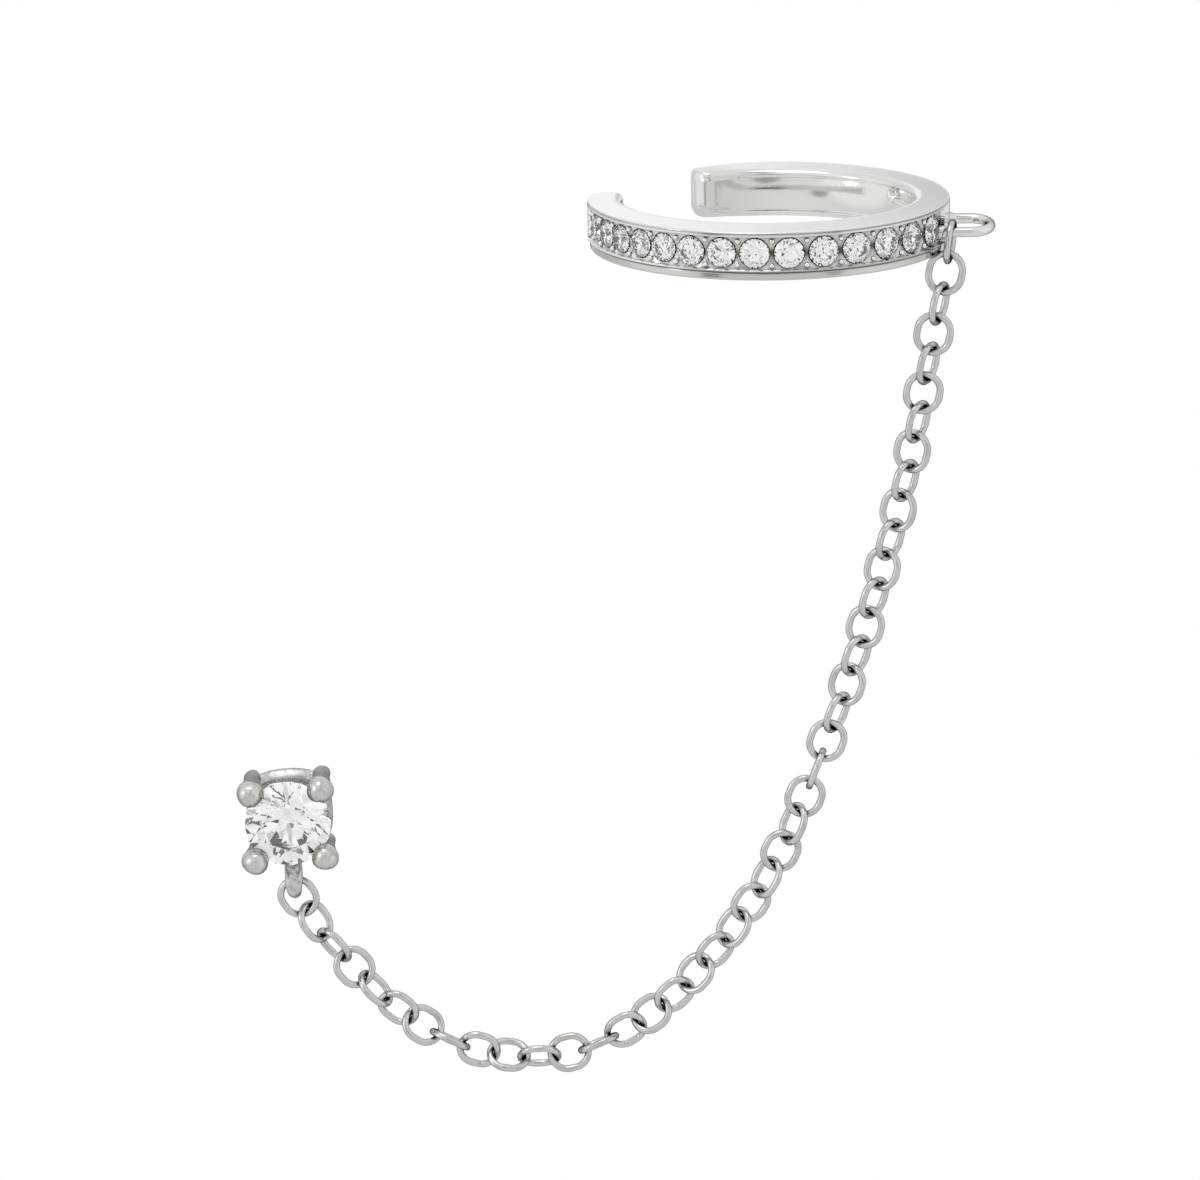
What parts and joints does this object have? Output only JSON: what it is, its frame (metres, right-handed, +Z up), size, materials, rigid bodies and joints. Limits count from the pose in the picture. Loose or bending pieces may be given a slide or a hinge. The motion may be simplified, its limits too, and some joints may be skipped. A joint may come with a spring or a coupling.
{
  "type": "ear chain earring",
  "caption": "Stone-set open ear cuff joined by a fine hanging link chain to a four-prong solitaire stud with a plain ear post, in white metal.",
  "frame": {"origin": "centre of the stud setting's back plane, on the axis of the stone, where the stud sits on the lobe", "axes": "+Z up as worn, +Y from the stone into the lobe, +X towards the cuff (to the right in the picture)"},
  "size_m": [0.0254, 0.0146, 0.0297],
  "materials": {
    "setting_metal": "polished white metal, softly worn on the prong balls",
    "chain_metal": "polished white metal wire",
    "band_metal": "mirror-polished white metal",
    "stud_stone_clear": "clear colourless round brilliant",
    "row_stone_clear": "clear colourless round brilliants"
  },
  "bodies": {
    "root": {"stud_setting": "setting_metal", "stud_stone": "stud_stone_clear", "ear_chain": "chain_metal", "cuff_band": "band_metal", "cuff_stone_01": "row_stone_clear", "cuff_stone_02": "row_stone_clear", "cuff_stone_03": "row_stone_clear", "cuff_stone_04": "row_stone_clear", "cuff_stone_05": "row_stone_clear", "cuff_stone_06": "row_stone_clear", "cuff_stone_07": "row_stone_clear", "cuff_stone_08": "row_stone_clear", "cuff_stone_09": "row_stone_clear", "cuff_stone_10": "row_stone_clear", "cuff_stone_11": "row_stone_clear", "cuff_stone_12": "row_stone_clear", "cuff_stone_13": "row_stone_clear", "cuff_stone_14": "row_stone_clear"}
  },
  "joints": []
}
